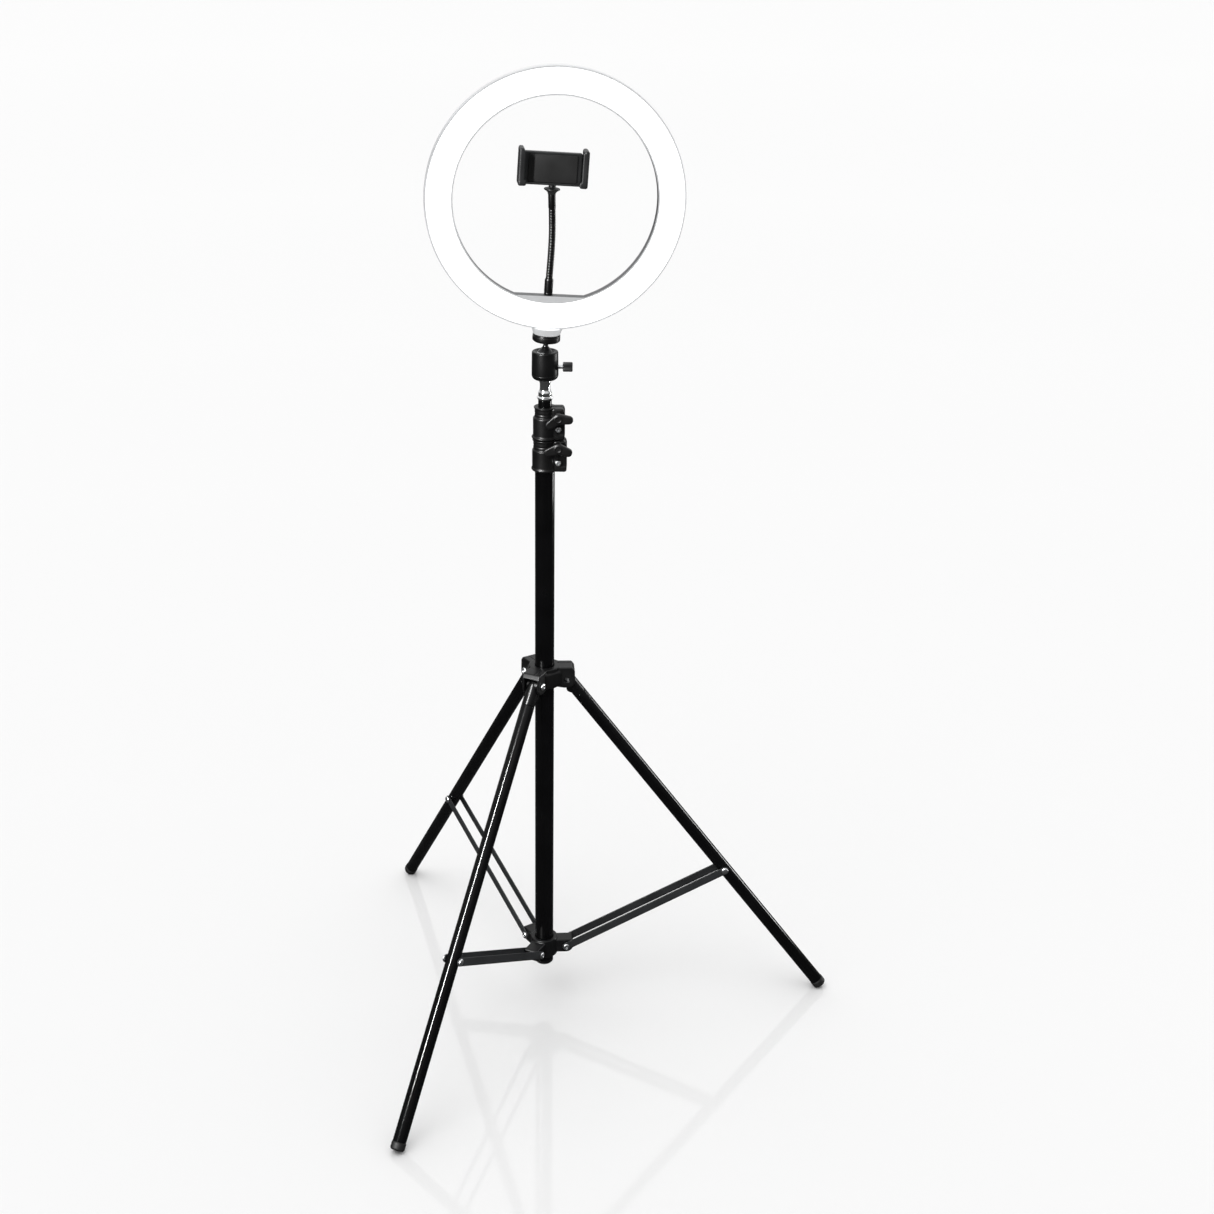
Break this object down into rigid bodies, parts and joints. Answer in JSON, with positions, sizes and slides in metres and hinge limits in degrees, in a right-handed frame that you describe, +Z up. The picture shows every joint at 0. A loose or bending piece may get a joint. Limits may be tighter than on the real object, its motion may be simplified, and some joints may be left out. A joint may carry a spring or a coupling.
{
  "type": "ring light",
  "caption": "Ring-shaped LED light with a phone holder on a gooseneck, on a ball head and a telescoping column with a folding braced tripod base.",
  "frame": {"origin": "on the floor, under the middle of the overall box; the column stands at x -0.07045, y 0.0116", "axes": "+Z up the column; the light faces -Y; +X is to the right as seen from the lit side"},
  "size_m": [0.5188, 0.5732, 1.0597],
  "materials": {
    "tube_black": "satin black powder coat on steel tube",
    "brace_black": "satin black paint on flat steel bar",
    "plastic_black": "moulded black nylon, fine texture",
    "rubber_black": "matt black rubber",
    "fastener_steel": "zinc-plated steel",
    "spigot_chrome": "polished chrome plate",
    "head_black": "black anodised",
    "neck_black": "black coated flexible steel tube",
    "shell_white": "white moulded ABS",
    "diffuser_white": "frosted opal diffuser, lit",
    "board_white": "white solder mask on the LED ring board"
  },
  "bodies": {
    "column": {"main_tube": "tube_black", "column_end_cap": "plastic_black", "lower_hub": "plastic_black", "hub_pivot_bolt_front": "fastener_steel", "hub_pivot_bolt_right": "fastener_steel", "hub_pivot_bolt_rear": "fastener_steel", "lower_clamp_collar": "plastic_black", "lower_clamp_screw": "fastener_steel"},
    "crown": {"crown": "plastic_black", "crown_pivot_bolt_front": "fastener_steel", "crown_pivot_bolt_right": "fastener_steel", "crown_pivot_bolt_rear": "fastener_steel"},
    "crown_knob": {"crown_lock_knob": "plastic_black"},
    "leg_front": {"leg_tube_front": "tube_black", "leg_top_fitting_front": "plastic_black", "foot_cap_front": "rubber_black"},
    "brace_front": {"brace_bar_front_a": "brace_black", "brace_bar_front_b": "brace_black", "brace_rivet_front_a": "fastener_steel", "brace_rivet_front_b": "fastener_steel"},
    "leg_right": {"leg_tube_right": "tube_black", "leg_top_fitting_right": "plastic_black", "foot_cap_right": "rubber_black"},
    "brace_right": {"brace_bar_right_a": "brace_black", "brace_bar_right_b": "brace_black", "brace_rivet_right_a": "fastener_steel", "brace_rivet_right_b": "fastener_steel"},
    "leg_rear": {"leg_tube_rear": "tube_black", "leg_top_fitting_rear": "plastic_black", "foot_cap_rear": "rubber_black"},
    "brace_rear": {"brace_bar_rear_a": "brace_black", "brace_bar_rear_b": "brace_black", "brace_rivet_rear_a": "fastener_steel", "brace_rivet_rear_b": "fastener_steel"},
    "lower_knob": {"lower_wing_knob": "plastic_black"},
    "mid_section": {"mid_tube": "tube_black", "mid_tube_bush": "plastic_black", "upper_clamp_collar": "plastic_black", "upper_clamp_screw": "fastener_steel"},
    "upper_knob": {"upper_wing_knob": "plastic_black"},
    "top_section": {"top_tube": "tube_black", "top_tube_bush": "plastic_black", "spigot": "spigot_chrome"},
    "head": {"ball_head_body": "head_black", "ball_seat": "plastic_black"},
    "head_knob": {"head_lock_knob": "head_black"},
    "ball": {"ball_stem": "spigot_chrome", "top_plate": "head_black"},
    "light": {"rear_housing": "shell_white", "diffuser": "diffuser_white", "led_board": "board_white", "gooseneck_sleeve": "neck_black"},
    "neck_lower": {"gooseneck_lower": "neck_black"},
    "neck_upper": {"gooseneck_upper": "neck_black", "holder_socket": "plastic_black"},
    "knuckle": {"holder_ball": "plastic_black"},
    "holder": {"phone_clamp_body": "plastic_black", "clamp_spring": "fastener_steel", "phone_pad": "rubber_black"},
    "jaw": {"sliding_jaw": "plastic_black"}
  },
  "joints": [
    {"name": "crown_slide", "type": "slide", "parent": "column", "child": "crown", "axis": [0, 0, 1], "range_m": [0, 0.1684]},
    {"name": "crown_knob_turn", "type": "hinge", "parent": "crown", "child": "crown_knob", "pos_m": [-0.05736, 0.03859, 0.409], "axis": [0.4363, 0.8998, 0], "continuous": true},
    {"name": "leg_front_fold", "type": "hinge", "parent": "crown", "child": "leg_front", "pos_m": [-0.08092, -0.01, 0.4095], "axis": [0.8998, -0.4363, 0], "range_deg": [0, 34.67]},
    {"name": "brace_front_fold", "type": "hinge", "parent": "column", "child": "brace_front", "pos_m": [-0.08149, -0.01116, 0.0695], "axis": [-0.8998, 0.4363, 0], "range_deg": [0, 59.55]},
    {"name": "leg_right_fold", "type": "hinge", "parent": "crown", "child": "leg_right", "pos_m": [-0.04651, 0.01333, 0.4095], "axis": [-0.072, 0.9974, 0], "range_deg": [0, 34.67]},
    {"name": "brace_right_fold", "type": "hinge", "parent": "column", "child": "brace_right", "pos_m": [-0.04522, 0.01342, 0.0695], "axis": [0.072, -0.9974, 0], "range_deg": [0, 59.55]},
    {"name": "leg_rear_fold", "type": "hinge", "parent": "crown", "child": "leg_rear", "pos_m": [-0.08392, 0.03147, 0.4095], "axis": [-0.8278, -0.5611, 0], "range_deg": [0, 34.67]},
    {"name": "brace_rear_fold", "type": "hinge", "parent": "column", "child": "brace_rear", "pos_m": [-0.08464, 0.03254, 0.0695], "axis": [0.8278, 0.5611, 0], "range_deg": [0, 59.55]},
    {"name": "lower_knob_turn", "type": "hinge", "parent": "column", "child": "lower_knob", "pos_m": [-0.05625, -0.0004, 0.677], "axis": [0, -1, 0], "continuous": true},
    {"name": "mid_slide", "type": "slide", "parent": "column", "child": "mid_section", "axis": [0, 0, 1], "range_m": [0, 0.48]},
    {"name": "upper_knob_turn", "type": "hinge", "parent": "mid_section", "child": "upper_knob", "pos_m": [-0.05625, -0.0004, 0.709], "axis": [0, -1, 0], "continuous": true},
    {"name": "top_slide", "type": "slide", "parent": "mid_section", "child": "top_section", "axis": [0, 0, 1], "range_m": [0, 0.48]},
    {"name": "head_pan", "type": "hinge", "parent": "top_section", "child": "head", "pos_m": [-0.07045, 0.0116, 0.75], "axis": [0, 0, 1], "continuous": true},
    {"name": "head_knob_turn", "type": "hinge", "parent": "head", "child": "head_knob", "pos_m": [-0.05045, 0.0116, 0.7592], "axis": [1, 0, 0], "continuous": true},
    {"name": "ball_nod", "type": "hinge", "parent": "head", "child": "ball", "pos_m": [-0.07045, 0.0116, 0.77], "axis": [0.992, 0.1265, 0], "range_deg": [-30, 30]},
    {"name": "light_swivel", "type": "hinge", "parent": "ball", "child": "light", "pos_m": [-0.07045, 0.0116, 0.77], "axis": [0.0623, 0.0079, 0.998], "continuous": true},
    {"name": "neck_lower_bend", "type": "hinge", "parent": "light", "child": "neck_lower", "pos_m": [-0.06615, 0.01064, 0.85491], "axis": [0.99, 0.1263, -0.0628], "range_deg": [-35, 35]},
    {"name": "neck_upper_bend", "type": "hinge", "parent": "neck_lower", "child": "neck_upper", "pos_m": [-0.06352, 0.01006, 0.89683], "axis": [-0.1265, 0.992, 0], "range_deg": [-30, 30]},
    {"name": "holder_tilt", "type": "hinge", "parent": "neck_upper", "child": "knuckle", "pos_m": [-0.06227, 0.0076, 0.96411], "axis": [0.99, 0.1263, -0.0628], "range_deg": [-40, 3]},
    {"name": "holder_spin", "type": "hinge", "parent": "knuckle", "child": "holder", "pos_m": [-0.06164, 0.00264, 0.96411], "axis": [0.1265, -0.992, 0], "continuous": true},
    {"name": "jaw_slide", "type": "slide", "parent": "holder", "child": "jaw", "axis": [0.99, 0.1263, -0.0628], "range_m": [0, 0.026]}
  ],
  "couplings": [
    {"joint": "leg_front_fold", "follows": "crown_slide", "rad_per_m": 3.5884},
    {"joint": "brace_front_fold", "follows": "crown_slide", "rad_per_m": 6.1667},
    {"joint": "leg_right_fold", "follows": "crown_slide", "rad_per_m": 3.5884},
    {"joint": "brace_right_fold", "follows": "crown_slide", "rad_per_m": 6.1667},
    {"joint": "leg_rear_fold", "follows": "crown_slide", "rad_per_m": 3.5884},
    {"joint": "brace_rear_fold", "follows": "crown_slide", "rad_per_m": 6.1667}
  ]
}
